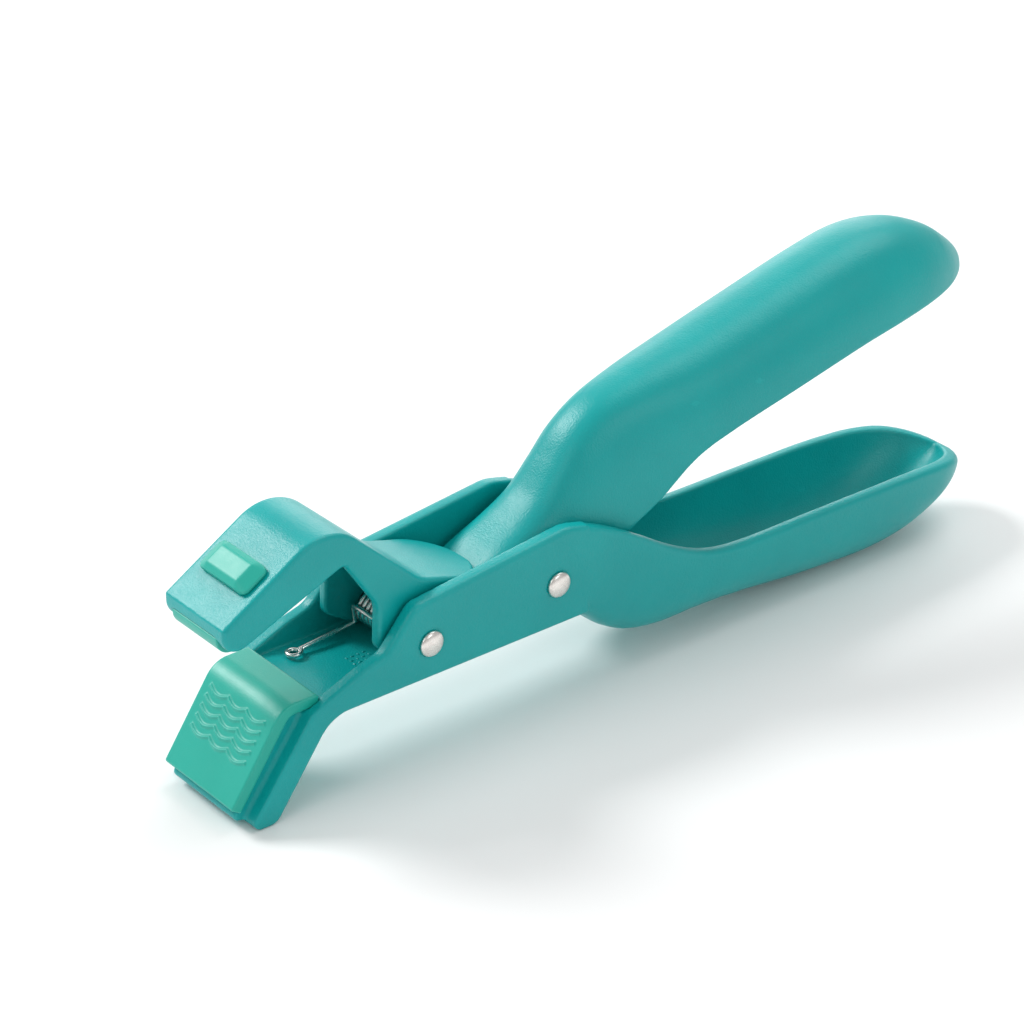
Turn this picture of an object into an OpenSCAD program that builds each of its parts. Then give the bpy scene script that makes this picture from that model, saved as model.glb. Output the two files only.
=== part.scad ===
// Sprung kitchen clip for lifting hot bowls and plates: a channel-shaped body with a lower jaw and a
// trough handle, an upper jaw on a front rivet, and an upper handle on a rear rivet whose nose lifts
// the tongue of the jaw. +X runs from the jaws to the handles, +Z is up, and the clip rests on z = 0.
// Side outlines are written in the x-z plane with the front rivet at [0, 0].

/* [Pivots] */
// Distance of the front rivet ahead of the middle of the clip
front_pivot_back = 52.5; // [52:0.1:53]
// Height of the front rivet above the table
front_pivot_h = 25.5; // [25.2:0.1:26]
// Distance from the front rivet to the rear rivet, along the clip
pivot_gap = 31; // [30.5:0.1:31.5]
// Height of the rear rivet above the front rivet
rear_pivot_up = 1.7; // [1.2:0.1:2]
// Radius of the rivet shanks
shank_r = 1.5; // [1.2:0.1:1.7]
// Radius of the rivet heads
head_r = 2.7; // [2.4:0.1:3.2]
// Height of the rivet heads
head_h = 1.1; // [0.8:0.1:1.5]

/* [Body] */
// Width over the cheeks and the lower handle
body_w = 27.2; // [27:0.1:27.8]
// Thickness of the cheeks
wall = 3.1; // [2.8:0.1:3.2]
// Height of the channel floor, from the front rivet
floor_z = -5.2; // [-5.6:0.1:-5.1]
// Height of the underside of the channel, from the front rivet
under_z = -7.4; // [-8:0.1:-7.2]

/* [Upper jaw] */
// Width of the upper jaw
jaw_w = 19.4; // [18.8:0.1:19.8]
// Thickness of the upper jaw's cheeks
ear_wall = 2.4; // [2:0.1:2.6]

/* [Upper handle] */
// Width of the neck between the cheeks
neck_w = 20; // [19.4:0.1:20.3]
// Width of the nose under the tongue of the jaw
nose_w = 13.2; // [12:0.1:13.6]
// Radius of the nose
nose_r = 4; // [3.8:0.1:4]

/* [Pads] */
// Width of the lower pad
lower_pad_w = 22.4; // [21.6:0.1:22.4]
// Length of the plug heads across the jaw
plug_l = 14.8; // [13:0.1:15]
// Length of the plug heads along the jaw
plug_w = 6.8; // [6:0.1:7.2]

/* [Spring] */
// Diameter of the spring wire
wire_d = 0.8; // [0.7:0.05:1]
// Mean radius of the coil
coil_r = 3.8; // [3.4:0.1:3.9]
// Turns in the coil
coil_turns = 12; // [8:1:13]

/* [Hidden] */

teal = "#2aa5a3";
silicone = "#3dbfa6";
steel = "#c9c4bd";

half_w = body_w / 2;
inner_half = half_w - wall;
trough_half = half_w - 2.6;
seat_w = body_w - 4.8;
rear_pivot = [pivot_gap, rear_pivot_up];
fit_gap = 0.02;
run_gap = 0.05;
round_fn = 64;
curve_step = 9;

// Slope of the lower jaw's face and of the upper jaw's top plate
lower_slope = 55;
upper_slope = 31;

// ---- Outlines with rounded corners -------------------------------------------------------------

function unit(v) = v / norm(v);

// Arc that rounds the corner b between a and c with radius r
function corner(a, b, c, r) =
    let (u = unit(a - b), v = unit(c - b), half = acos(max(-1, min(1, u * v))) / 2)
    let (turn = 180 - 2 * half, steps = max(1, ceil(turn / curve_step)))
    let (centre = b + unit(u + v) * r / sin(half), start = b + u * r / tan(half) - centre)
    let (side = (u.x * v.y - u.y * v.x) < 0 ? 1 : -1)
    [for (k = [0:steps]) let (w = side * turn * k / steps)
        centre + [start.x * cos(w) - start.y * sin(w), start.x * sin(w) + start.y * cos(w)]];

// Outline through [x, z, radius] corners
function rounded(pts) = [for (i = [0:len(pts) - 1])
    let (n = len(pts), p = pts[i], a = pts[(i + n - 1) % n], c = pts[(i + 1) % n])
    each (p[2] > 0 ? corner([a.x, a.y], [p.x, p.y], [c.x, c.y], p[2]) : [[p.x, p.y]])];

// Moves the pivot-centred shape to its place above the table
module place() {
    translate([-front_pivot_back, 0, front_pivot_h]) children();
}

// Side outline made into a solid of width w, centred on the clip
module side(pts, w) {
    rotate([90, 0, 0]) linear_extrude(w, center = true) polygon(rounded(pts));
}

// Round bar or hole across the clip
module across(p, r, w) {
    translate([p.x, 0, p.y]) rotate([90, 0, 0]) cylinder(r = r, h = w, center = true, $fn = round_fn);
}

// ---- Lofts through stations --------------------------------------------------------------------

// Smooth value of row i + t of a table
function smooth_row(tab, i, t) =
    let (n = len(tab), a = tab[max(0, i - 1)], b = tab[i], c = tab[i + 1], d = tab[min(n - 1, i + 2)])
    0.5 * (2 * b + (c - a) * t + (2 * a - 5 * b + 4 * c - d) * pow(t, 2)
        + (3 * b - a - 3 * c + d) * pow(t, 3));

function smooth_rows(tab, steps) = [
    for (i = [0:len(tab) - 2]) for (k = [0:steps - 1]) smooth_row(tab, i, k / steps),
    tab[len(tab) - 1]];

function power(v, e) = sign(v) * pow(abs(v), e);

ring_steps = 16;

// Half-round section: middle of its flat side f, crown c, half width w, squareness q
function section(f, c, w, q) = [for (k = [0:ring_steps])
    let (ang = 180 * k / ring_steps, h = power(sin(ang), 2 / q))
    [f.x + (c.x - f.x) * h, -w * power(cos(ang), 2 / q), f.y + (c.y - f.y) * h]];

// Closed solid through rings of equal length
module loft(rings) {
    n = len(rings[0]);
    m = len(rings);
    sides = [for (i = [0:m - 2]) for (j = [0:n - 1]) let (a = i * n + j, b = i * n + (j + 1) % n)
        each [[a, b, a + n], [b, b + n, a + n]]];
    last = (m - 1) * n;
    caps = [for (j = [1:n - 2]) each [[0, j + 1, j], [last, last + j, last + j + 1]]];
    polyhedron([for (r = rings) each r], concat(sides, caps), convexity = 6);
}

// ---- Body frame --------------------------------------------------------------------------------

// Raised seat of the pad, from the jaw tip round the underside and back along the channel floor
seat_outline = [
    [-45.4, -25.5, 2.5], [-36.3, -25.5, 3], [-23.2, under_z, 8], [20, under_z, 0], [20, floor_z, 0],
    [-31.2, floor_z, 2.5]];

// Cheeks with their rim, and the sides of the lower jaw set back behind the seat
cheek_outline = [
    [-42.8, -25.5, 2.4], [-36.3, -25.5, 3], [-23.2, under_z, 8], [36, under_z, 0], [36, 12.4, 0],
    [33.5, 13, 9], [-3.6, 8.9, 3.5], [-10.6, 0.8, 5], [-16, -0.7, 8], [-27.6, -5.4, 3]];

// Trough handle: station x, rim height, lowest point, half width and squareness
trough = [
    [34, 12.4, under_z, half_w - 0.05, 12], [40, 11, -10.2, half_w - 0.02, 7],
    [46, 8.2, -15.6, half_w, 5], [53, 4.1, -19.6, half_w, 4], [61, -0.9, -21.3, half_w, 3.5],
    [70, -5, -21.3, half_w, 3.2], [80, -6.6, -21.9, half_w, 3], [98, -6.8, -24.1, half_w, 2.9],
    [110, -6.9, -25.2, half_w, 2.8], [118, -7, -25.5, half_w, 2.8], [126, -7.3, -25.2, half_w - 0.2, 2.7],
    [133, -7.8, -23.8, half_w - 0.6, 2.6], [140, -8.8, -20.9, half_w - 1.7, 2.5], [145, -10, -18, 9.4, 2.4],
    [148.4, -11.2, -15.2, 5.5, 2.3], [150, -12.3, -13, 1, 2.2]];

// Inside of the trough at each station, its rim raised above the wall
cavity = [
    [33, 16, floor_z, inner_half, 12], [40, 16, floor_z - 2.4, inner_half, 9],
    [46, 13.5, -12.8, inner_half + 0.5, 6], [53, 9.5, -17, trough_half + 0.1, 4],
    [61, 5, -18.8, trough_half, 3.5], [70, 0, -18.8, trough_half, 3.2], [80, -3, -19.4, trough_half, 3],
    [98, -4, -21.6, trough_half, 2.9], [110, -4, -22.7, trough_half, 2.8],
    [118, -4, -22.9, trough_half, 2.7], [126, -4, -22.4, trough_half - 0.3, 2.6],
    [133, -4, -20.7, trough_half - 0.7, 2.4], [139, -4, -17.8, trough_half - 1.7, 2.2],
    [143.5, -4, -15, 7, 2], [146.4, -4, -12.6, 3.7, 2], [147.6, -4, -10.8, 0.8, 2]];

module trough_loft(tab) {
    loft([for (s = smooth_rows(tab, 3)) section([s[0], s[1]], [s[0], s[2]], -s[3], s[4])]);
}

// Frame of the lower jaw's face: x runs down the face from the bend, z points out of it
module on_lower_face() {
    translate([-31.2, 0, floor_z]) rotate([0, 180 - lower_slope, 0]) mirror([0, 0, 1]) children();
}

// Frame of the upper jaw's top plate: x runs back from its front edge, z points out of it
module on_upper_plate() {
    translate([-43.9, 0, 16.7]) rotate([0, -upper_slope, 0]) children();
}

module body_frame() {
    color(teal) place() difference() {
        union() {
            side(seat_outline, seat_w);
            side(cheek_outline, body_w);
            trough_loft(trough);
        }
        translate([-31, -inner_half, floor_z]) cube([71, body_w - 2 * wall, 30]);
        translate([-34, -lower_pad_w / 2 - run_gap, floor_z]) cube([9.6, lower_pad_w + 2 * run_gap, 12]);
        trough_loft(cavity);
        across([0, 0], shank_r + fit_gap, 40);
        across(rear_pivot, shank_r + fit_gap, 40);
        on_lower_face() translate([10.5, 0, 0]) cube([plug_w - 1, plug_l - 3, 40], center = true);
    }
}

// ---- Upper handle ------------------------------------------------------------------------------

nose_centre = [12, 1.85];

nose_outline = [[12, 5.85, 0], [17, 3.8, 1], [20, -3, 0], [12, -2.15, 0]];

// Neck and grip: crown x and z, lower edge x and z, half width and squareness at each station
grip = [
    [16.5, 3.3, 18, -3.3, neck_w / 2, 5], [22, 7.5, 26, -3.9, neck_w / 2, 4],
    [28, 11.3, 35, -2.5, neck_w / 2, 3.4], [33, 15.2, 42.5, 0.9, neck_w / 2, 3],
    [38, 20.9, 49.5, 3.8, neck_w / 2, 2.8], [43, 26.3, 54, 6.8, 10.4, 2.6], [50, 30.7, 59.5, 10.4, 10.9, 2.5],
    [60, 33.7, 68, 17, 12, 2.4], [72, 36.6, 77.5, 20.9, 12.9, 2.4], [90, 41.2, 94, 25, 13.3, 2.4],
    [108, 45.8, 111, 29, 13.4, 2.4], [120, 47.8, 122, 31, 13.2, 2.4], [130, 47, 131.5, 32.3, 12.1, 2.3],
    [138.5, 44, 139, 33, 9.7, 2.2], [144, 40.2, 144.2, 33.4, 6.7, 2.1], [147.3, 37, 147.3, 34, 3, 2]];

// Hollow of the grip, open below
grip_hollow = [
    [47.5, 22.5, 54.5, 6.2, 4, 2.2], [50.8, 27, 59, 8.6, 8, 2.3], [61, 31.2, 69, 15, 9.4, 2.3],
    [72.8, 34, 78.4, 19, 10.3, 2.3], [90.6, 38.6, 94.8, 23, 10.8, 2.3], [108.6, 43.2, 111.8, 27, 10.9, 2.3],
    [120.3, 45.2, 122.4, 29, 10.7, 2.3], [129.4, 44.6, 131.2, 30.4, 9.7, 2.2],
    [136.8, 42.4, 138.2, 31.2, 7.4, 2.1], [141.8, 39.2, 142.4, 31.8, 4.4, 2],
    [144.2, 36.8, 144.4, 32.6, 1.4, 2]];

module grip_loft(tab) {
    loft([for (s = smooth_rows(tab, 3)) section([s[2], s[3]], [s[0], s[1]], s[4], s[5])]);
}

module upper_handle() {
    color(teal) place() difference() {
        union() {
            side(nose_outline, nose_w);
            across(nose_centre, nose_r, nose_w);
            grip_loft(grip);
        }
        grip_loft(grip_hollow);
        across(rear_pivot, shank_r + run_gap, 40);
    }
}

// ---- Upper jaw ---------------------------------------------------------------------------------

// Plate, rear slope and tongue as one bent skin
skin_outline = [
    [-43.9, 16.7, 0.8], [-19.8, 31.2, 11], [0.9, 11.9, 8], [18, 6.8, 0.8], [18, 4.6, 0.6], [-0.8, 10.2, 5],
    [-20.3, 28.2, 8.6], [-43.9, 14.1, 0]];

// One ear: the side flange of the plate and the arm down to the front rivet
ear_outline = [
    [-43.9, 16.7, 0.8], [-19.8, 31.2, 11], [0.9, 11.9, 8], [9, 9.4, 0], [9.4, 6.6, 2], [8, 1.6, 3],
    [4.6, -3.6, 3], [-2, -4.6, 3], [-9.6, 0.3, 2.4], [-9.2, 9.6, 5], [-16.6, 20.9, 1.4], [-43.9, 9.7, 3.5]];

// Seen from above: straight sides and a half-round tongue
module jaw_plan() {
    half = jaw_w / 2;
    translate([-44, -half, -10]) cube([62 - half, jaw_w, 50]);
    translate([18 - half, 0, -10]) cylinder(r = half, h = 50, $fn = 96);
}

module upper_jaw() {
    color(teal) place() difference() {
        union() {
            intersection() {
                side(skin_outline, jaw_w);
                jaw_plan();
            }
            for (s = [-1, 1]) translate([0, s * (jaw_w - ear_wall) / 2, 0]) side(ear_outline, ear_wall);
        }
        across([0, 0], shank_r + run_gap, 40);
        on_upper_plate() translate([10.9, 0, 0]) cube([plug_w - 1, plug_l - 5, 10], center = true);
    }
}

// ---- Pads --------------------------------------------------------------------------------------

// Bevelled head of the plug that holds a pad: a low block with sloping sides
module plug_head(h, l) {
    hull() {
        translate([-plug_w / 2, -l / 2, 0]) cube([plug_w, l, h * 0.45]);
        translate([-plug_w / 2 + 1.2, -l / 2 + 2.6, 0]) cube([plug_w - 2.4, l - 5.2, h]);
    }
}

lower_pad_outline = [
    [-45, -20.5, 0.6], [-32.9, -2.9, 6], [-24.5, -2.9, 0.8], [-24.5, floor_z, 0], [-31.2, floor_z, 2.5],
    [-42.84, -21.83, 0]];

upper_pad_outline = [
    [-43.9, 14.08, 0], [-27, 24.18, 0], [-24.5, 17.1, 1.5], [-43.9, 8.8, 3.2]];

module lower_pad() {
    color(silicone) place() {
        side(lower_pad_outline, lower_pad_w);
        on_lower_face() translate([10.5, 0, -7.7]) {
            translate([-plug_w / 2 + 0.5, -plug_l / 2 + 1.5, 0]) cube([plug_w - 1, plug_l - 3, 8]);
            mirror([0, 0, 1]) plug_head(2, plug_l);
        }
    }
}

module upper_pad() {
    color(silicone) place() {
        side(upper_pad_outline, jaw_w - 2 * ear_wall);
        on_upper_plate() translate([10.9, 0, 0]) {
            translate([-plug_w / 2 + 0.5, -plug_l / 2 + 2.5, -2.6]) cube([plug_w - 1, plug_l - 5, 3]);
            plug_head(2.2, plug_l);
        }
    }
}

// ---- Rivets ------------------------------------------------------------------------------------

// Domed head with its flat side at y = 0, pointing to -y
module rivet_dome() {
    dome_r = (head_r * head_r + head_h * head_h) / (2 * head_h);
    rotate([90, 0, 0]) intersection() {
        translate([0, 0, head_h - dome_r]) sphere(r = dome_r, $fn = round_fn);
        cylinder(r = head_r + 1, h = head_h + 1, $fn = round_fn);
    }
}

module rivet(p) {
    translate([p.x, 0, p.y]) {
        translate([0, -half_w, 0]) rivet_dome();
        rotate([90, 0, 0]) cylinder(r = shank_r, h = body_w, center = true, $fn = round_fn);
    }
}

module rivet_cap(p) {
    translate([p.x, half_w, p.y]) mirror([0, 1, 0]) rivet_dome();
}

module front_rivet() { color(steel) place() rivet([0, 0]); }
module front_rivet_cap() { color(steel) place() rivet_cap([0, 0]); }
module rear_rivet() { color(steel) place() rivet(rear_pivot); }
module rear_rivet_cap() { color(steel) place() rivet_cap(rear_pivot); }

// ---- Torsion spring ----------------------------------------------------------------------------

coil_half = coil_turns * (wire_d + 0.1) / 2;
turn_steps = 16;

// Wire path: foot on the floor, coil round the front rivet, then the arm up behind the jaw
function coil_point(a, y) = [-coil_r * sin(a), y, -coil_r * cos(a)];

spring_path = concat(
    [[-19.2, coil_half, -4.5], [-12, coil_half, -3.9], [-6, coil_half, -3.7], [-3, coil_half, -3.8]],
    [for (k = [0:coil_turns * turn_steps - 4])
        coil_point(-360 * k / turn_steps, coil_half - 2 * coil_half * k / (coil_turns * turn_steps))],
    [[-4.2, -coil_half, 3.5], [-4.8, -coil_half, 10]]);

// Ring of points round the wire, square to its direction
function wire_ring(p, dir, sides) =
    let (d = unit(dir), u = unit(cross(d, [0, 1, 0.05])), v = cross(u, d))
    [for (k = [0:sides - 1]) p + wire_d / 2 * (u * cos(360 * k / sides) + v * sin(360 * k / sides))];

module torsion_spring() {
    n = len(spring_path);
    color(steel) place() loft([for (i = [0:n - 1])
        wire_ring(spring_path[i], spring_path[min(n - 1, i + 1)] - spring_path[max(0, i - 1)], 8)]);
}

body_frame();
upper_handle();
upper_jaw();
lower_pad();
upper_pad();
front_rivet();
front_rivet_cap();
rear_rivet();
rear_rivet_cap();
torsion_spring();
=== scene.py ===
import math

import bmesh
import bpy
import numpy as np
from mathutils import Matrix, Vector


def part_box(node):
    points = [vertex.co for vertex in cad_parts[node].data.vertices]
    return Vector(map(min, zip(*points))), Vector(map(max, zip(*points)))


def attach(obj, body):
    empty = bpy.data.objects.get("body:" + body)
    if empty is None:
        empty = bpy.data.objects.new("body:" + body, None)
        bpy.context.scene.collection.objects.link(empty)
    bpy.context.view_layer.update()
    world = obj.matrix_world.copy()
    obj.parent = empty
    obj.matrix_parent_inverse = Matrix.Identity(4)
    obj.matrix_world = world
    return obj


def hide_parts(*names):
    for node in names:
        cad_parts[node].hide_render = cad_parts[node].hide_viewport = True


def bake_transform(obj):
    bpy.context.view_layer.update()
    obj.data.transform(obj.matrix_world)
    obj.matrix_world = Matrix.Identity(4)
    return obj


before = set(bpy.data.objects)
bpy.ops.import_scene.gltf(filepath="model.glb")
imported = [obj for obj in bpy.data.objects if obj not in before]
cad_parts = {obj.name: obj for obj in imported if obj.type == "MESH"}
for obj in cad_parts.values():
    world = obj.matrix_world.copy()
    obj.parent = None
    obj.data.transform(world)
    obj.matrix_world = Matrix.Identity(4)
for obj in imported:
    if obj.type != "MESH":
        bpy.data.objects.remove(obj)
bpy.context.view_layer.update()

# Looks of the sprung bowl and plate clip. Each moulding is written as a field, the distance in
# millimetres to its surface, put together from side outlines, round-edged slabs and smooth sections,
# and a mesh is drawn through the field's zero. Lengths are millimetres from the middle of the front
# rivet: x towards the handles, y across, z up.

MM = 0.001
FAR = 60.0


def middle(node):
    low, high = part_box(node)
    return (low + high) / 2 / MM


FRONT = middle("front_rivet_cap")
REAR = middle("rear_rivet_cap") - FRONT
HALF_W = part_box("front_rivet_cap")[0].y / MM
JAW_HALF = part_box("upper_jaw")[1].y / MM
HEAD_R = (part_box("front_rivet")[1].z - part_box("front_rivet")[0].z) / 2 / MM
HEAD_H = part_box("front_rivet_cap")[1].y / MM - HALF_W

# Body
WALL = 3.1
TROUGH_WALL = 2.6
INNER_HALF = HALF_W - WALL
TROUGH_HALF = HALF_W - TROUGH_WALL
SEAT_HALF = 10.3
SEAT_EDGE_R = 0.4
FLOOR_Z = -5.2
UNDER_Z = -7.4
LOWER_SLOPE = 55
RIM_R = 1.2
CRISP = 0.5
COVE_R = 0.8
INSIDE_R = 0.45
CHANNEL_START, CHANNEL_END = -31, 40
POCKET_MIDDLE, POCKET_HALF_L = -29.2, 4.8
POCKET_R = 0.3
RIVET_RING, RIVET_RING_DEPTH = 0.25, 0.22
SHARP = 0.01
FACE_BEND = (-31.2, FLOOR_Z)

# Upper jaw
UPPER_SLOPE = 31
PLATE_FRONT = (-43.9, 16.7)
EAR_WALL = 2.4
HOLLOW_HALF = JAW_HALF - EAR_WALL

# Pads and their plugs
LOWER_PAD_HALF = 11.2
PLUG_L = 14.8
PLUG_W = 6.8
UPPER_PLUG_AT = 10.9
LOWER_PLUG_AT = 10.5
UPPER_HEAD_H = 2.2
LOWER_HEAD_H = 2
LOWER_HEAD_DEPTH = 7.7
LOWER_STEM = 8.4
STEM_CORNER_R = 0.3
PAD_EDGE_R = 0.3

# Upper handle
NECK_HALF = 10.0
NOSE_HALF = 6.6
NOSE_CENTRE = (12, 1.85)
NOSE_R = 4

# Rivets, and the gaps round a fixed and a turning part
SHANK_R = 1.5
FIT_GAP = 0.02
RUN_GAP = 0.05

COARSE = 1.0


# ---- Outlines ----------------------------------------------------------------------------------


def rounded(corners, step=5.0):
    """Closed outline through [x, z, radius] corners, each turned into an arc of that radius."""
    points = []
    for i, (x, z, r) in enumerate(corners):
        b = np.array([x, z], float)
        if r <= 0:
            points.append(b)
            continue
        u = np.array(corners[i - 1][:2], float) - b
        v = np.array(corners[(i + 1) % len(corners)][:2], float) - b
        u, v = u / np.linalg.norm(u), v / np.linalg.norm(v)
        half = math.acos(max(-1, min(1, u @ v))) / 2
        middle_dir = (u + v) / np.linalg.norm(u + v)
        centre = b + middle_dir * r / math.sin(half)
        first, last = b + u * r / math.tan(half) - centre, b + v * r / math.tan(half) - centre
        turn = math.atan2(first[0] * last[1] - first[1] * last[0], first @ last)
        for w in np.linspace(0, turn, max(2, math.ceil(abs(math.degrees(turn)) / step) + 1)):
            c, s = math.cos(w), math.sin(w)
            points.append(centre + [first[0] * c - first[1] * s, first[0] * s + first[1] * c])
    return np.array(points)


def smooth_rows(table, steps=24):
    """Catmull-Rom curve through the rows of a table."""
    t = np.array(table, float)
    padded = np.vstack([t[0], t, t[-1]])
    rows = []
    for i in range(1, len(t)):
        a, b, c, d = padded[i - 1:i + 3]
        for k in np.arange(steps) / steps:
            rows.append(0.5 * (2 * b + (c - a) * k + (2 * a - 5 * b + 4 * c - d) * k ** 2
                               + (3 * b - a - 3 * c + d) * k ** 3))
    return np.array(rows + [t[-1]])


# ---- Fields ------------------------------------------------------------------------------------


class Grid:
    """Points at which a field is worked out. The object is the same on both sides, so y starts at 0."""

    def __init__(self, x, y, z):
        self.x, self.y, self.z = x, y, z
        self.X, self.Y, self.Z = x[:, None, None], y[None, :, None], z[None, None, :]

    def outline(self, corners):
        """Distance to a closed outline in the x-z plane, below 0 inside it."""
        points = rounded(corners)
        gx, gz = np.meshgrid(self.x, self.z, indexing="ij")
        near = np.full(gx.shape, 1e9)
        inside = np.zeros(gx.shape, bool)
        for (ax, az), (bx, bz) in zip(points, np.roll(points, -1, axis=0)):
            ex, ez = bx - ax, bz - az
            t = np.clip(((gx - ax) * ex + (gz - az) * ez) / (ex * ex + ez * ez), 0, 1)
            near = np.minimum(near, (gx - ax - t * ex) ** 2 + (gz - az - t * ez) ** 2)
            if ez:
                inside ^= ((az > gz) != (bz > gz)) & (gx < ex * (gz - az) / ez + ax)
        return (np.where(inside, -1, 1) * np.sqrt(near))[:, None, :]

    def level(self, f):
        """Field f scaled so that it measures distance near its surface."""
        gx, gy, gz = np.gradient(f, self.x, self.y, self.z)
        return np.clip(f / np.maximum(np.sqrt(gx * gx + gy * gy + gz * gz), 1e-3), -FAR, FAR)


def spaced(low, high, fine, knee=None, wide=None):
    """Grid lines from low to high, fine apart, and wide apart past the knee."""
    fine = fine * COARSE
    if knee is None:
        return np.arange(low, high + fine, fine)
    wide = wide * COARSE
    return np.concatenate([np.arange(low, knee, fine), np.arange(knee, high + wide, wide)])


def both(a, b, r):
    """Where a and b overlap, the edge between them rounded by r."""
    return np.minimum(-r, np.maximum(a, b)) + np.hypot(np.maximum(r + a, 0), np.maximum(r + b, 0))


def cut(a, b, r):
    """a without b, the edge round the cut rounded by r."""
    return both(a, -b, r)


def either(a, b, r):
    """a and b as one, the corner between them filled by r."""
    return np.maximum(r, np.minimum(a, b)) - np.hypot(np.maximum(r - a, 0), np.maximum(r - b, 0))


def across(grid, centre, r):
    """Bar across the object."""
    return np.hypot(grid.X - centre[0], grid.Z - centre[1]) - r


def on_slope(grid, origin, slope):
    """Distance down (or up) a sloping face from origin, and distance out of it."""
    c, s = math.cos(math.radians(slope)), math.sin(math.radians(slope))
    x, z = grid.X - origin[0], grid.Z - origin[1]
    return x * c + z * s, z * c - x * s


# ---- Meshes ------------------------------------------------------------------------------------


def sample(field, axes, points):
    """Field between grid points, by straight lines."""
    at, part = [], []
    for a, p in zip(axes, points.T):
        i = np.clip(np.searchsorted(a, p) - 1, 0, len(a) - 2)
        at.append(i)
        part.append((p - a[i]) / (a[i + 1] - a[i]))
    total = 0
    for i in (0, 1):
        for j in (0, 1):
            for k in (0, 1):
                share = [part[n] if o else 1 - part[n] for n, o in enumerate((i, j, k))]
                total = total + share[0] * share[1] * share[2] * field[at[0] + i, at[1] + j, at[2] + k]
    return total


def crossings(d, axes):
    """Cells that the surface passes through, and the mean point where it crosses their edges."""
    n = [len(a) - 1 for a in axes]
    inside = d < 0
    corners = [(i, j, k) for i in (0, 1) for j in (0, 1) for k in (0, 1)]
    count = np.zeros(n, np.int8)
    for i, j, k in corners:
        count += inside[i:i + n[0], j:j + n[1], k:k + n[2]]
    cells = np.argwhere((count > 0) & (count < 8))
    total, hits = np.zeros((len(cells), 3)), np.zeros(len(cells))
    for start in corners:
        for side in range(3):
            if start[side]:
                continue
            end = list(start)
            end[side] = 1
            a, b = cells + start, cells + end
            da, db = d[tuple(a.T)], d[tuple(b.T)]
            hit = (da < 0) != (db < 0)
            t = np.where(hit, da / np.where(hit, da - db, 1), 0)[:, None]
            pa = np.stack([g[i] for g, i in zip(axes, a.T)], 1)
            pb = np.stack([g[i] for g, i in zip(axes, b.T)], 1)
            total += hit[:, None] * (pa + t * (pb - pa))
            hits += hit
    return cells, total / hits[:, None]


def skin(d, axes):
    """Points and four-sided faces of the field's zero surface."""
    cells, points = crossings(d, axes)
    n = [len(a) - 1 for a in axes]
    number = np.full(n, -1, np.int64)
    number[tuple(cells.T)] = np.arange(len(cells))
    inside = d < 0
    faces = []
    for side in range(3):
        u, v = (side + 1) % 3, (side + 2) % 3
        low, high = [slice(1, -1)] * 3, [slice(1, -1)] * 3
        low[side], high[side] = slice(0, -1), slice(1, None)
        a, b = inside[tuple(low)], inside[tuple(high)]
        at = np.argwhere(a != b)
        steps = np.zeros((4, 3), int)
        steps[1, u] = steps[2, u] = steps[2, v] = steps[3, v] = 1
        quads = np.stack([number[tuple((at + s).T)] for s in steps], 1)
        turned = ~a[tuple(at.T)]
        quads[turned] = quads[turned][:, ::-1]
        faces.append(quads)
    return points, np.concatenate(faces)


def settle(points, faces, d, axes, rounds=3):
    """Evens the points out, then pulls them back onto the surface."""
    slopes = np.gradient(d, *axes)
    ends = np.concatenate([faces[:, [i, (i + 1) % 4]] for i in range(4)])
    near = np.bincount(ends[:, 0], minlength=len(points))[:, None]
    reach = 0.5 * min(np.diff(a).min() for a in axes)
    for _ in range(rounds):
        mean = np.stack([np.bincount(ends[:, 0], points[ends[:, 1], k], len(points)) for k in range(3)], 1)
        points = 0.5 * points + 0.5 * mean / near
        for _ in range(2):
            g = np.stack([sample(s, axes, points) for s in slopes], 1)
            step = sample(d, axes, points) / np.maximum((g * g).sum(1), 0.05)
            points = points - np.clip(step, -reach, reach)[:, None] * g
    return points


def build(name, points, faces, material):
    """Blender object from points in millimetres from the front rivet."""
    mesh = bpy.data.meshes.new(name)
    mesh.from_pydata(((np.asarray(points) + np.array(FRONT) * [1, 0, 1]) * MM).tolist(), [],
                     np.asarray(faces).tolist())
    mesh.polygons.foreach_set("use_smooth", [True] * len(mesh.polygons))
    mesh.materials.append(material)
    mesh.update()
    obj = bpy.data.objects.new(name, mesh)
    bpy.context.scene.collection.objects.link(obj)
    return obj


def moulding(name, grid, d, material):
    """Object whose surface is the zero of field d, worked out for y from 0 and mirrored."""
    d = np.broadcast_to(d, (len(grid.x), len(grid.y), len(grid.z)))
    d = np.concatenate([d[:, :0:-1], d], axis=1)
    axes = (grid.x, np.concatenate([-grid.y[:0:-1], grid.y]), grid.z)
    points, faces = skin(d, axes)
    return build(name, settle(points, faces, d, axes), faces, material)


# ---- Body frame --------------------------------------------------------------------------------

SEAT_OUTLINE = [
    [-44.6, -23.6, 1.2], [-36.3, -25.5, 3], [-23.2, UNDER_Z, 8], [20, UNDER_Z, 0], [20, FLOOR_Z, 0],
    [-31.2, FLOOR_Z, 2.5]]

CHEEK_OUTLINE = [
    [-42.8, -25.5, 1.5], [-36.3, -25.5, 3], [-23.2, UNDER_Z, 8], [39, UNDER_Z, 0], [39, 11.8, 0],
    [33.5, 13.2, 9], [-3.6, 9.1, 3.5], [-10.6, 1.0, 5], [-16, -0.5, 8], [-27.6, -5.2, 3]]

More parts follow.
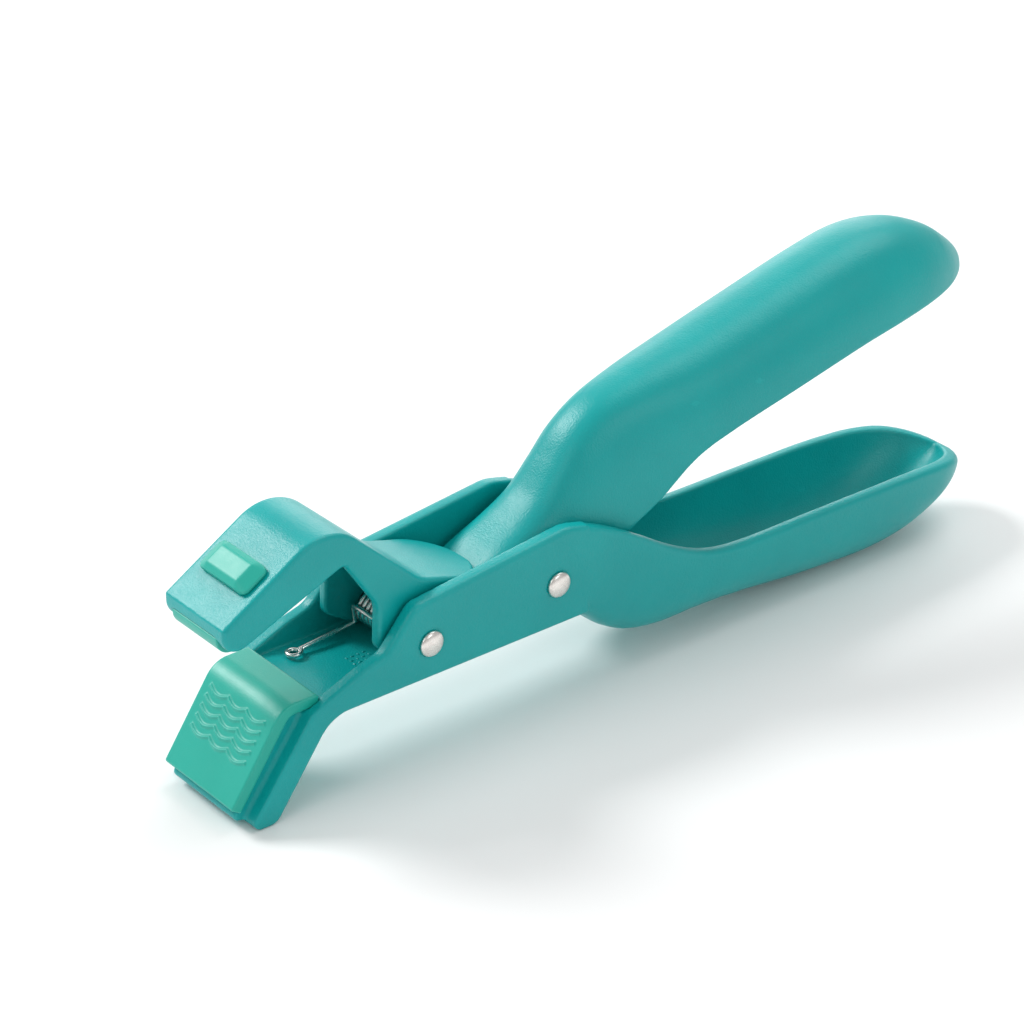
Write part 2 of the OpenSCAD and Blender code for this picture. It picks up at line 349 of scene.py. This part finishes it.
# Trough handle: x, rim height, lowest point, half width, squareness of the section
TROUGH = [
    [29, 11.6, UNDER_Z + 0.1, HALF_W, 14], [35, 12.3, -7.9, HALF_W, 10], [40, 11.1, -10.4, HALF_W, 7],
    [46, 8.4, -15.6, HALF_W, 5], [53, 4.3, -19.6, HALF_W, 4], [61, -0.7, -21.3, HALF_W, 3.5],
    [70, -4.8, -21.3, HALF_W, 3.2], [80, -6.4, -21.9, HALF_W, 3], [98, -6.6, -24.1, HALF_W, 2.9],
    [110, -6.7, -25.2, HALF_W, 2.8], [118, -6.8, -25.5, HALF_W, 2.8],
    [126, -7.1, -25.2, HALF_W - 0.2, 2.7], [133, -7.6, -23.8, HALF_W - 0.6, 2.6],
    [140, -8.6, -20.9, HALF_W - 1.7, 2.5],
    [145, -9.8, -18, 9.4, 2.4], [148.4, -11, -15.2, 5.5, 2.3], [150, -12.2, -13, 1, 2.2]]

# Inside of the trough: x, rim height of its sections, lowest point, half width, squareness
CAVITY = [
    [33, 16, FLOOR_Z, INNER_HALF, 12], [40, 16, FLOOR_Z - 2.4, INNER_HALF, 9],
    [46, 13.5, -12.8, INNER_HALF + 0.5, 6], [53, 9.5, -17, TROUGH_HALF + 0.1, 4],
    [61, 5, -18.8, TROUGH_HALF, 3.5], [70, 0, -18.8, TROUGH_HALF, 3.2], [80, -3, -19.4, TROUGH_HALF, 3],
    [98, -4, -21.6, TROUGH_HALF, 2.9], [110, -4, -22.7, TROUGH_HALF, 2.8],
    [118, -4, -22.9, TROUGH_HALF, 2.7], [126, -4, -22.4, TROUGH_HALF - 0.3, 2.6],
    [133, -4, -20.7, TROUGH_HALF - 0.7, 2.4], [139, -4, -17.8, TROUGH_HALF - 1.7, 2.2],
    [143.5, -4, -15, 7.6, 2], [146.2, -4, -12.8, 4.8, 2], [147.6, -4, -10.8, 1, 2]]


def channel(grid, table):
    """Field of a lengthwise channel whose sections are half superellipses, open upwards."""
    rows = smooth_rows(table)
    x = grid.x
    rim, low, half, power = (np.interp(x, rows[:, 0], rows[:, i])[:, None, None] for i in range(1, 5))
    down = np.maximum(rim - grid.Z, 0) / (rim - low)
    f = ((np.abs(grid.Y) / half) ** power + down ** power) ** (1 / power) - 1
    d = grid.level(f)
    return np.maximum(d, np.maximum(table[0][0] - grid.X, grid.X - table[-1][0])), rim


def body_field(grid):
    """Lower jaw, cheeks and trough handle as one moulding."""
    side = np.abs(grid.Y)
    cheeks, seat = grid.outline(CHEEK_OUTLINE), grid.outline(SEAT_OUTLINE)
    high = np.clip((grid.Z - UNDER_Z - 1) / 6, 0, 1)
    edge = CRISP + (RIM_R - CRISP) * high
    d = either(both(cheeks, side - HALF_W, edge), both(seat, side - SEAT_HALF, SEAT_EDGE_R), COVE_R)
    d = np.maximum(d, np.minimum(cheeks, seat))
    trough, rim = channel(grid, TROUGH)
    d = np.minimum(d, both(trough, grid.Z - rim, RIM_R))
    straight = both(side - INNER_HALF, FLOOR_Z - grid.Z, SHARP)
    straight = np.maximum(straight, np.maximum(CHANNEL_START - grid.X, grid.X - CHANNEL_END))
    pocket = both(side - LOWER_PAD_HALF - RUN_GAP, FLOOR_Z - grid.Z, SHARP)
    pocket = np.maximum(pocket, np.abs(grid.X - POCKET_MIDDLE) - POCKET_HALF_L)
    cavity, _ = channel(grid, CAVITY)
    d = cut(d, np.minimum(straight, cavity), INSIDE_R)
    d = cut(d, pocket, POCKET_R)
    for centre in ((0, 0), (REAR.x, REAR.z)):
        d = np.maximum(d, -across(grid, centre, SHANK_R + FIT_GAP))
        ring = np.maximum(across(grid, centre, HEAD_R + RIVET_RING), HALF_W - RIVET_RING_DEPTH - side)
        d = np.maximum(d, -ring)
    along, out = on_slope(grid, FACE_BEND, LOWER_SLOPE)
    hole = np.maximum(np.abs(along + LOWER_PLUG_AT) - PLUG_W / 2 + 0.5, side - PLUG_L / 2 + 1.5)
    return np.maximum(d, -np.maximum(hole, np.abs(out) - 20))


def body_frame(material):
    grid = Grid(spaced(-46.6, 151.5, 0.36, 40, 0.7), spaced(0, 14.6, 0.38), spaced(-26.6, 13.2, 0.36))
    return moulding("body_moulding", grid, body_field(grid), material)


# ---- Upper handle ------------------------------------------------------------------------------

NOSE_OUTLINE = [[12, 5.85, 0], [17, 3.8, 1], [20, -3, 0], [12, -2.15, 0]]

# Neck and grip: crown x and z, lower edge x and z, half width, squareness of the section
GRIP = [
    [16.5, 3.3, 18, -3.3, NECK_HALF, 5], [22, 7.5, 26, -3.9, NECK_HALF, 4],
    [28, 11.2, 35, -2.6, NECK_HALF, 3.4], [33.2, 15, 42.5, 0.6, NECK_HALF, 3],
    [38, 20.9, 49.5, 3.1, NECK_HALF, 2.8], [42.8, 26.5, 54.2, 5.9, 10.4, 2.6],
    [49.7, 31, 59.8, 9.4, 10.9, 2.5],
    [60, 34, 68, 16.2, 12, 2.4], [72, 36.6, 77.5, 20.1, 12.9, 2.4], [90, 41.1, 94, 24.2, 13.3, 2.4],
    [108, 45.6, 111, 28.2, 13.4, 2.4], [120, 47.7, 122, 30.2, 13.2, 2.4], [130, 46.8, 131.5, 31.5, 12.1, 2.3],
    [138.5, 43.6, 139, 32, 9.7, 2.2], [144, 39.8, 144.3, 32.6, 6.7, 2.1], [147.2, 36.9, 147.3, 33.5, 3.6, 2],
    [148.2, 35.4, 148.25, 34, 1.2, 2]]

GRIP_HOLLOW = [
    [47.5, 22.5, 54.5, 6.2, 4, 2.2], [50.8, 27, 59, 8.6, 8, 2.3], [61, 31.2, 69, 15, 9.4, 2.3],
    [72.8, 34, 78.4, 19, 10.3, 2.3], [90.6, 38.6, 94.8, 23, 10.8, 2.3], [108.6, 43.2, 111.8, 27, 10.9, 2.3],
    [120.3, 45.2, 122.4, 29, 10.7, 2.3], [129.4, 44.6, 131.2, 30.4, 9.7, 2.2],
    [136.8, 42.4, 138.2, 31.2, 7.4, 2.1], [141.8, 39.2, 142.4, 31.8, 4.4, 2],
    [144.2, 36.8, 144.4, 32.6, 1.4, 2]]


def arch(grid, table):
    """Field of an arch whose sections lean, and the distance below the line of its lower edges."""
    rows = smooth_rows(table)
    gx, gz = (a.ravel() for a in np.meshgrid(grid.x, grid.z, indexing="ij"))
    base, up = rows[:, 2:4], rows[:, 0:2] - rows[:, 2:4]
    from_base_x, from_base_z = gx[:, None] - base[None, :, 0], gz[:, None] - base[None, :, 1]
    ahead = up[None, :, 0] * from_base_z - up[None, :, 1] * from_base_x
    passed = (ahead[:, :-1] <= 0) & (ahead[:, 1:] > 0)
    i = np.where(passed.any(1), passed.argmax(1), np.where(ahead[:, 0] > 0, 0, len(rows) - 2))
    pick = np.arange(len(gx))
    t = np.clip(ahead[pick, i] / (ahead[pick, i] - ahead[pick, i + 1]), 0, 1)[:, None]
    row = rows[i] * (1 - t) + rows[i + 1] * t
    up = row[:, 0:2] - row[:, 2:4]
    length = np.linalg.norm(up, axis=1)
    high = ((gx - row[:, 2]) * up[:, 0] + (gz - row[:, 3]) * up[:, 1]) / length ** 2
    shape = (len(grid.x), 1, len(grid.z))
    before = (ahead[:, 0] / np.linalg.norm(rows[0, 0:2] - rows[0, 2:4])).reshape(shape)
    after = (-ahead[:, -1] / np.linalg.norm(rows[-1, 0:2] - rows[-1, 2:4])).reshape(shape)
    half, power = row[:, 4].reshape(shape), row[:, 5].reshape(shape)
    f = ((np.abs(grid.Y) / half) ** power + np.maximum(high, 0).reshape(shape) ** power) ** (1 / power) - 1
    d = grid.level(f)
    return np.maximum(d, np.maximum(before, after)), (-high * length).reshape(shape)


def handle_field(grid):
    """Nose, neck and hollow grip."""
    side = np.abs(grid.Y)
    grip, below = arch(grid, GRIP)
    d = both(grip, below, 0.9)
    hollow, _ = arch(grid, GRIP_HOLLOW)
    d = cut(d, hollow, 0.9)
    nose = np.minimum(grid.outline(NOSE_OUTLINE), across(grid, NOSE_CENTRE, NOSE_R))
    d = either(d, both(nose, side - NOSE_HALF, 0.8), 0.6)
    return np.maximum(d, -across(grid, (REAR.x, REAR.z), SHANK_R + RUN_GAP))


def upper_handle(material):
    grid = Grid(spaced(6.8, 149, 0.4, 45, 0.7), spaced(0, 14.6, 0.4), spaced(-6, 49.5, 0.4))
    return moulding("handle_moulding", grid, handle_field(grid), material)


# ---- Upper jaw ---------------------------------------------------------------------------------

# Side of the whole jaw: plate, rear slope, tongue, ear, flange
JAW_OUTLINE = [
    [-43.9, 16.7, 0.6], [-19.8, 31.2, 11], [0.9, 11.9, 8], [18, 6.8, 0.8], [18, 4.6, 0.6], [9.5, 7.4, 1.5],
    [8, 1.6, 3], [4.6, -3.6, 3], [-2, -4.6, 3], [-9.6, 0.3, 2.4], [-9.2, 9.6, 5], [-16.6, 20.9, 1.4],
    [-43.9, 9.7, 3.5]]

# Space under the plate, slope and tongue
UNDER_SKIN = [[-70, -1.6, 0], [-20.3, 28.2, 8.6], [-0.8, 10.2, 5], [40, -2.3, 0], [40, -30, 0], [-70, -30, 0]]

TONGUE_TIP = 18
TONGUE_EDGE_R = 0.35
JAW_EDGE_R = 0.9


def jaw_plan(grid):
    """Distance to the jaw's outline seen from above: straight sides and a half-round tongue."""
    round_from = TONGUE_TIP - JAW_HALF
    return np.hypot(np.maximum(grid.X - round_from, 0), grid.Y) - JAW_HALF


def plug_plan(along, side, half_l, half_w, r):
    """Distance to a rectangle with round corners."""
    a, b = np.abs(along) - half_w + r, side - half_l + r
    return np.minimum(np.maximum(a, b), 0) + np.hypot(np.maximum(a, 0), np.maximum(b, 0)) - r


def jaw_field(grid):
    """Plate, rear slope, tongue and the two ears."""
    side = np.abs(grid.Y)
    plan = jaw_plan(grid)
    edge = TONGUE_EDGE_R + (JAW_EDGE_R - TONGUE_EDGE_R) * np.clip((12 - grid.X) / 6, 0, 1)
    d = both(grid.outline(JAW_OUTLINE), plan, edge)
    under = both(grid.outline(UNDER_SKIN), side - HOLLOW_HALF, 1.0)
    tail = np.maximum(grid.outline(UNDER_SKIN), 9.8 - grid.X)
    d = cut(d, np.minimum(under, tail), 0.5)
    d = np.maximum(d, -across(grid, (0, 0), SHANK_R + RUN_GAP))
    along, out = on_slope(grid, PLATE_FRONT, UPPER_SLOPE)
    hole = np.maximum(np.abs(along - UPPER_PLUG_AT) - PLUG_W / 2 + 0.5, side - PLUG_L / 2 + 2.5)
    return np.maximum(d, -np.maximum(hole, np.abs(out) - 4))


def upper_jaw(material):
    grid = Grid(spaced(-44.9, 19, 0.26), spaced(0, 10.6, 0.27), spaced(-5.6, 29.6, 0.26))
    return moulding("jaw_moulding", grid, jaw_field(grid), material)


# ---- Pads --------------------------------------------------------------------------------------

LOWER_PAD_OUTLINE = [
    [-45, -20.5, 0.5], [-32.9, -2.9, 6], [-24.5, -2.9, 0.8], [-24.5, FLOOR_Z, 0], [-31.2, FLOOR_Z, 2.5],
    [-42.84, -21.83, 0]]
UPPER_PAD_OUTLINE = [[-43.9, 14.08, 0], [-27, 24.18, 0], [-24.5, 17.1, 1.5], [-43.9, 8.8, 3.2]]
PAD_FOOT = (-45, -20.5)
RIB_ROWS = [17.3, 15.2, 13.15, 11.1, 8.95]
RIB_HALF = 8.7
RIB_SAG = 1.0
RIB_HEIGHT = 0.38
RIB_WIDTH = 0.32
FOOT_UNDERCUT = 0.35


def plug_head(along, out, side, height):
    """Bevelled head: foot undercut at the bottom, sloping sides, flat top and round corners."""
    foot = plug_plan(along, side, PLUG_L / 2, PLUG_W / 2, 1.5)
    foot = foot + np.clip(FOOT_UNDERCUT - out, 0, FOOT_UNDERCUT)
    slope = plug_plan(along, side, PLUG_L / 2 - 2.7, PLUG_W / 2 - 1.35, 0.2)
    rise = out - height
    bevel = (rise * 2.4 + slope * 1.3) / 2.73
    return np.maximum(both(both(foot, rise, 0.15), bevel, 0.12), -0.6 - out)


def ribs(grid):
    """Height of the wave ribs over the lower pad's sloping face."""
    along, _ = on_slope(grid, PAD_FOOT, LOWER_SLOPE)
    side = np.abs(grid.Y)
    wave = RIB_HALF * 2 / 3
    sag = RIB_SAG * np.sin(np.pi * (((side + wave / 2) / wave) % 1))
    ends = np.maximum(side - RIB_HALF, 0)
    height = 0
    for row in RIB_ROWS:
        off = np.hypot(along - row + sag, ends)
        height = np.maximum(height, np.exp(-((off / RIB_WIDTH) ** 2)))
    return RIB_HEIGHT * height


def lower_pad(material):
    grid = Grid(spaced(-46.2, -23.6, 0.17), spaced(0, 12, 0.17), spaced(-23.6, -1.6, 0.17))
    side = np.abs(grid.Y)
    d = both(grid.outline(LOWER_PAD_OUTLINE), side - LOWER_PAD_HALF, PAD_EDGE_R)
    _, out = on_slope(grid, FACE_BEND, LOWER_SLOPE)
    d = d - ribs(grid) * np.clip(out - 1.0, 0, 1)
    return moulding("lower_pad_skin", grid, d, material)


def lower_plug(material):
    grid = Grid(spaced(-44, -27, 0.25), spaced(0, 8.2, 0.25), spaced(-22, -5, 0.25))
    along, out = on_slope(grid, FACE_BEND, LOWER_SLOPE)
    side = np.abs(grid.Y)
    along = along + LOWER_PLUG_AT
    head = plug_head(along, -out - LOWER_HEAD_DEPTH, side, LOWER_HEAD_H)
    stem = plug_plan(along, side, PLUG_L / 2 - 1.52, PLUG_W / 2 - 0.52, STEM_CORNER_R)
    stem = np.maximum(stem, np.abs(out + LOWER_STEM / 2) - LOWER_STEM / 2)
    return moulding("lower_pad_plug", grid, np.minimum(head, stem), material)


def upper_pad(material):
    grid = Grid(spaced(-45, -23.4, 0.19), spaced(0, 8.2, 0.19), spaced(7.6, 29.5, 0.19))
    side = np.abs(grid.Y)
    d = both(grid.outline(UPPER_PAD_OUTLINE), side - HOLLOW_HALF, PAD_EDGE_R)
    along, out = on_slope(grid, PLATE_FRONT, UPPER_SLOPE)
    along = along - UPPER_PLUG_AT
    stem = plug_plan(along, side, PLUG_L / 2 - 2.52, PLUG_W / 2 - 0.52, STEM_CORNER_R)
    stem = np.maximum(stem, np.abs(out + 1.3) - 1.5)
    d = np.minimum(d, stem)
    d = np.minimum(d, plug_head(along, out, side, UPPER_HEAD_H))
    return moulding("upper_pad_skin", grid, d, material)


# ---- Rivets ------------------------------------------------------------------------------------


def turned(name, profile, centre, outward, material, sides=72):
    """Round piece on an axis along y from [radius, distance out] points; outward is -1 or 1."""
    points, faces = [], []
    for r, out in profile:
        for k in range(sides):
            a = 2 * math.pi * k / sides
            points.append([centre[0] + r * math.cos(a), outward * out, centre[1] + r * math.sin(a)])
    for i in range(len(profile) - 1):
        for k in range(sides):
            a, b = i * sides + k, i * sides + (k + 1) % sides
            quad = [a, b, b + sides, a + sides]
            faces.append(quad if outward < 0 else quad[::-1])
    for ring, flip in ((0, outward > 0), (len(profile) - 1, outward < 0)):
        disc = [ring * sides + k for k in range(sides)]
        faces.append(disc[::-1] if flip else disc)
    mesh = bpy.data.meshes.new(name)
    place = np.array(FRONT) * [1, 0, 1]
    mesh.from_pydata(((np.array(points) + place) * MM).tolist(), [], faces)
    work = bmesh.new()
    work.from_mesh(mesh)
    bmesh.ops.recalc_face_normals(work, faces=work.faces)
    work.to_mesh(mesh)
    work.free()
    for polygon in mesh.polygons:
        polygon.use_smooth = len(polygon.vertices) == 4
    mesh.materials.append(material)
    obj = bpy.data.objects.new(name, mesh)
    bpy.context.scene.collection.objects.link(obj)
    return obj


def dome():
    """Rivet head: a low dome with a rolled edge."""
    edge = [[HEAD_R - 0.12, HALF_W - 0.2], [HEAD_R, HALF_W + 0.02], [HEAD_R - 0.03, HALF_W + 0.2]]
    crown = [[HEAD_R * math.cos(a) * 0.985, HALF_W + 0.2 + (HEAD_H - 0.2) * math.sin(a)]
             for a in np.linspace(0.12, math.pi / 2 - 0.02, 14)]
    return edge + crown


def rivet(name, centre, material):
    shank = [[SHANK_R, -HALF_W + 0.1], [SHANK_R, HALF_W - 0.2]]
    return turned(name, shank + dome(), centre, -1, material)


def rivet_cap(name, centre, material):
    return turned(name, [[SHANK_R + 0.2, HALF_W - 0.2]] + dome(), centre, 1, material)


# ---- Torsion spring ----------------------------------------------------------------------------

WIRE_R = 0.5
COIL_R = 3.5
COIL_HALF = 5.4
COIL_TURNS = 8.5
EYE_R = 1.35
EYE_AT = (-18.0, 6.0, -4.4)


def tube(name, path, r, material, sides=10):
    """Wire of radius r along a path of points."""
    path = np.array(path, float)
    heading = np.gradient(path, axis=0)
    heading /= np.linalg.norm(heading, axis=1)[:, None]
    up = np.cross(heading[0], [0.3, 1, 0.2])
    points, faces = [], []
    for p, h in zip(path, heading):
        up = up - h * (up @ h)
        up /= np.linalg.norm(up)
        across_dir = np.cross(h, up)
        for k in range(sides):
            a = 2 * math.pi * k / sides
            points.append(p + r * (up * math.cos(a) + across_dir * math.sin(a)))
    for i in range(len(path) - 1):
        for k in range(sides):
            a, b = i * sides + k, i * sides + (k + 1) % sides
            faces.append([a, b, b + sides, a + sides])
    faces.append([k for k in range(sides)][::-1])
    faces.append([(len(path) - 1) * sides + k for k in range(sides)])
    mesh_obj = build(name, points, [f for f in faces if len(f) == 4], material)
    work = bmesh.new()
    work.from_mesh(mesh_obj.data)
    bmesh.ops.holes_fill(work, edges=[e for e in work.edges if e.is_boundary])
    bmesh.ops.recalc_face_normals(work, faces=work.faces)
    work.to_mesh(mesh_obj.data)
    work.free()
    return mesh_obj


def eased(corners, bend=0.8, steps=6):
    """Path through corners with each bend rounded off."""
    corners = [np.array(c, float) for c in corners]
    path = [corners[0]]
    for a, b, c in zip(corners, corners[1:], corners[2:]):
        before = b + (a - b) / np.linalg.norm(a - b) * min(bend, np.linalg.norm(a - b) / 2)
        after = b + (c - b) / np.linalg.norm(c - b) * min(bend, np.linalg.norm(c - b) / 2)
        for t in np.linspace(0, 1, steps):
            path.append((1 - t) ** 2 * before + 2 * t * (1 - t) * b + t * t * after)
    path.append(corners[-1])
    return path


def spring_leg(material):
    """Eye on the floor, leg up to the coil, and the bar across the coil's front."""
    ex, ey, ez = EYE_AT
    eye = [[ex - EYE_R * math.cos(a), ey - EYE_R * math.sin(a), ez + 0.25 * a / math.pi]
           for a in np.linspace(-math.pi * 0.9, math.pi, 28)]
    bar_x, bar_z = -COIL_R - 1.6 * WIRE_R, 1.3
    rest = [eye[-1], [ex + EYE_R + 1.4, ey - 0.1, ez + 0.45], [-COIL_R, COIL_HALF + 0.5, -2.9],
            [bar_x, COIL_HALF + 0.2, bar_z], [bar_x, -COIL_HALF - 0.3, bar_z]]
    return tube("spring_leg", eye[:-1] + eased(rest), WIRE_R, material)


def spring_coil(material):
    """Coil round the front rivet and the arm up behind the jaw."""
    turn = 2 * math.pi * COIL_TURNS
    turns = [[-COIL_R * math.cos(a), -COIL_HALF + 2 * COIL_HALF * a / turn, -COIL_R * math.sin(a)]
             for a in np.linspace(-0.3, turn, round(30 * COIL_TURNS))]
    arm = [[COIL_R + 0.2, COIL_HALF, 2], [COIL_R + 0.9, COIL_HALF, 6.8]]
    return tube("spring_coil", turns + arm, WIRE_R, material)


# ---- Floor marks -------------------------------------------------------------------------------


def floor_marks(material):
    """Cluster of small moulded dimples and bars on the channel floor, as a mould mark."""
    points, faces = [], []
    for row in range(3):
        for column in range(4):
            x, y = -10.8 + 1.35 * column + 0.3 * (row % 2), -1.0 - 1.3 * row
            long, wide = (0.5, 0.22) if (row + column) % 2 else (0.24, 0.42)
            start = len(points)
            for z, shrink in ((FLOOR_Z - 0.15, 1), (FLOOR_Z + 0.16, 0.6)):
                for sx, sy in ((-1, -1), (1, -1), (1, 1), (-1, 1)):
                    points.append([x + sx * long * shrink, y + sy * wide * shrink, z])
            faces.append([start + k for k in (4, 5, 6, 7)])
            faces.append([start + k for k in (3, 2, 1, 0)])
            for k in range(4):
                after = (k + 1) % 4
                faces.append([start + k, start + after, start + 4 + after, start + 4 + k])
    obj = build("floor_marks", points, faces, material)
    bevel = obj.modifiers.new("soft edges", "BEVEL")
    bevel.width = 0.1 * MM
    bevel.segments = 2
    return obj


# ---- Materials ---------------------------------------------------------------------------------


def link(tree, a, out, b, into):
    tree.links.new(a.outputs[out], b.inputs[into])


def noise(tree, scale, detail=3.0, rough=0.5):
    """Noise in the object's own space; scale is in features per metre."""
    place = tree.nodes.new("ShaderNodeTexCoord")
    node = tree.nodes.new("ShaderNodeTexNoise")
    node.inputs["Scale"].default_value = scale
    node.inputs["Detail"].default_value = detail
    node.inputs["Roughness"].default_value = rough
    link(tree, place, "Object", node, "Vector")
    return node


def mixed(tree, factor, out, dark, light, low, high):
    """Colour ramp from dark to light as the factor goes from low to high."""
    ramp = tree.nodes.new("ShaderNodeValToRGB")
    ramp.color_ramp.elements[0].position = low
    ramp.color_ramp.elements[0].color = (*dark, 1)
    ramp.color_ramp.elements[1].position = high
    ramp.color_ramp.elements[1].color = (*light, 1)
    link(tree, factor, out, ramp, "Fac")
    return ramp


def spread(tree, factor, out, low, high):
    """Maps a 0-1 factor to the range low-high."""
    node = tree.nodes.new("ShaderNodeMapRange")
    node.inputs["To Min"].default_value = low
    node.inputs["To Max"].default_value = high
    link(tree, factor, out, node, "Value")
    return node


def plastic(name, dark, light, edge, rough, grain_scale, grain_depth):
    """Moulded plastic or rubber: slow colour drift, a painted highlight that makes the sharper edges paler,
    fine moulded grain.
    """
    material = bpy.data.materials.new(name)
    material.use_nodes = True
    tree = material.node_tree
    shader = tree.nodes["Principled BSDF"]
    drift = mixed(tree, noise(tree, 55), "Fac", dark, light, 0.3, 0.7)
    shape = tree.nodes.new("ShaderNodeNewGeometry")
    # Painted highlight: where the surface bends sharply, the edge colour is mixed in so the edges read paler.
    edge_highlight_mask = mixed(tree, shape, "Pointiness", (0, 0, 0), (0.3, 0.3, 0.3), 0.53, 0.58)
    mix = tree.nodes.new("ShaderNodeMix")
    mix.data_type = "RGBA"
    link(tree, edge_highlight_mask, "Color", mix, "Factor")
    tree.links.new(drift.outputs["Color"], mix.inputs["A"])
    mix.inputs["B"].default_value = (*edge, 1)
    tree.links.new(mix.outputs["Result"], shader.inputs["Base Color"])
    grain = noise(tree, grain_scale, 2.0, 0.6)
    patches = noise(tree, 420, 2.0)
    rough_map = spread(tree, patches, "Fac", rough - 0.05, rough + 0.05)
    link(tree, rough_map, "Result", shader, "Roughness")
    fine = tree.nodes.new("ShaderNodeBump")
    fine.inputs["Strength"].default_value = 0.7
    fine.inputs["Distance"].default_value = grain_depth * MM
    link(tree, grain, "Fac", fine, "Height")
    soft = tree.nodes.new("ShaderNodeBump")
    soft.inputs["Strength"].default_value = 0.25
    soft.inputs["Distance"].default_value = grain_depth * 2 * MM
    link(tree, patches, "Fac", soft, "Height")
    link(tree, fine, "Normal", soft, "Normal")
    link(tree, soft, "Normal", shader, "Normal")
    return material


def metal(name, dark, light, rough, scratch_scale):
    """Plated steel with fine drawn scratches."""
    material = bpy.data.materials.new(name)
    material.use_nodes = True
    tree = material.node_tree
    shader = tree.nodes["Principled BSDF"]
    shader.inputs["Metallic"].default_value = 1.0
    tint = mixed(tree, noise(tree, 900), "Fac", dark, light, 0.3, 0.7)
    link(tree, tint, "Color", shader, "Base Color")
    scratches = noise(tree, scratch_scale, 3.0, 0.7)
    link(tree, spread(tree, scratches, "Fac", rough - 0.06, rough + 0.1), "Result", shader, "Roughness")
    bump = tree.nodes.new("ShaderNodeBump")
    bump.inputs["Strength"].default_value = 0.2
    bump.inputs["Distance"].default_value = 0.02 * MM
    link(tree, scratches, "Fac", bump, "Height")
    link(tree, bump, "Normal", shader, "Normal")
    return material


def finish(material, **values):
    """Constant values set straight on the shader's own sockets."""
    shader = material.node_tree.nodes["Principled BSDF"]
    for socket, value in values.items():
        shader.inputs[socket.replace("_", " ")].default_value = value
    return material


# ---- Stage -------------------------------------------------------------------------------------


def floor():
    mesh = bpy.data.meshes.new("floor")
    size = 3.0
    corners = [(-size, -size, 0), (size, -size, 0), (size, size, 0), (-size, size, 0)]
    mesh.from_pydata(corners, [], [(0, 1, 2, 3)])
    material = bpy.data.materials.new("floor_paper")
    material.use_nodes = True
    shader = material.node_tree.nodes["Principled BSDF"]
    shader.inputs["Base Color"].default_value = (0.93, 0.93, 0.93, 1)
    shader.inputs["Roughness"].default_value = 0.9
    shader.inputs["Specular IOR Level"].default_value = 0.1
    mesh.materials.append(material)
    obj = bpy.data.objects.new("floor", mesh)
    bpy.context.scene.collection.objects.link(obj)


def area_light(name, place, target, size, power):
    light = bpy.data.lights.new(name, "AREA")
    light.shape = "DISK"
    light.size = size
    light.energy = power
    obj = bpy.data.objects.new(name, light)
    obj.location = place
    obj.rotation_euler = (Vector(target) - Vector(place)).to_track_quat("-Z", "Y").to_euler()
    bpy.context.scene.collection.objects.link(obj)


def lights():
    world = bpy.data.worlds.new("studio")
    world.use_nodes = True
    world.node_tree.nodes["Background"].inputs["Color"].default_value = (1, 1, 1, 1)
    world.node_tree.nodes["Background"].inputs["Strength"].default_value = 0.5
    bpy.context.scene.world = world
    area_light("back_softbox", (-0.45, 0.9, 0.85), (-0.02, 0, 0.03), 0.46, 11)
    area_light("right_back_softbox", (0.75, 1.0, 0.42), (0, 0, 0.03), 0.7, 3)
    area_light("left_softbox", (-1.1, -0.3, 0.8), (-0.02, 0, 0.03), 0.6, 1.5)
    area_light("top_softbox", (0.6, 0.1, 1.1), (0, 0, 0.03), 0.8, 4.5)
    area_light("front_softbox", (0.2, -1.3, 0.8), (0, 0, 0.03), 0.7, 2.5)
    bpy.context.scene.view_settings.view_transform = "Standard"


def camera():
    data = bpy.data.cameras.new("camera")
    data.sensor_width = 36
    data.lens = 119.6
    data.clip_start = 0.01
    obj = bpy.data.objects.new("camera", data)
    obj.location = (-0.3846, -0.4530, 0.3550)
    target = Vector((-0.0222, 0, 0.0376))
    obj.rotation_euler = (target - obj.location).to_track_quat("-Z", "Y").to_euler()
    bpy.context.scene.collection.objects.link(obj)
    bpy.context.scene.camera = obj


# ---- Assembly ----------------------------------------------------------------------------------


def add(piece, body, slot, *nodes):
    """Piece rides on a body and stands for CAD nodes; its slot argument is not used."""
    if body:
        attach(piece, body)
    if nodes:
        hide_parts(*nodes)


def main():
    # Each plastic's third colour is the painted highlight laid along its sharper edges.
    teal = finish(plastic("teal_plastic", (0.0, 0.34, 0.34), (0.0, 0.38, 0.375), (0.01, 0.46, 0.45),
                          0.36, 2600, 0.11), Specular_IOR_Level=0.4)
    green = finish(plastic("green_silicone", (0.0, 0.39, 0.305), (0.002, 0.42, 0.33), (0.06, 0.58, 0.47),
                           0.42, 3200, 0.03), Specular_IOR_Level=0.6, Sheen_Weight=0.05, Sheen_Roughness=0.5)
    bright = metal("rivet_steel", (0.78, 0.74, 0.70), (0.86, 0.82, 0.78), 0.26, 5200)
    wire = metal("spring_steel", (0.70, 0.70, 0.69), (0.84, 0.83, 0.81), 0.24, 6400)

    add(body_frame(teal), "clip_body", "teal_plastic", "body_frame")
    add(floor_marks(teal), "clip_body", "teal_plastic")
    add(upper_handle(teal), "handle", "teal_plastic", "upper_handle")
    add(upper_jaw(teal), "jaw", "teal_plastic", "upper_jaw")
    add(lower_pad(green), "clip_body", "green_silicone", "lower_pad")
    add(lower_plug(green), "clip_body", "green_silicone", "lower_pad")
    add(upper_pad(green), "jaw", "green_silicone", "upper_pad")
    for end, centre in (("front", (0, 0)), ("rear", (REAR.x, REAR.z))):
        add(rivet(end + "_rivet_body", centre, bright), "clip_body", "rivet_steel", end + "_rivet")
        far_head = rivet_cap(end + "_rivet_far_head", centre, bright)
        add(far_head, "clip_body", "rivet_steel", end + "_rivet_cap")
    add(spring_leg(wire), "clip_body", "spring_steel", "torsion_spring")
    coil = spring_coil(wire)
    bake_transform(coil)
    add(coil, None, "spring_steel", "torsion_spring")

    floor()
    lights()
    camera()


main()
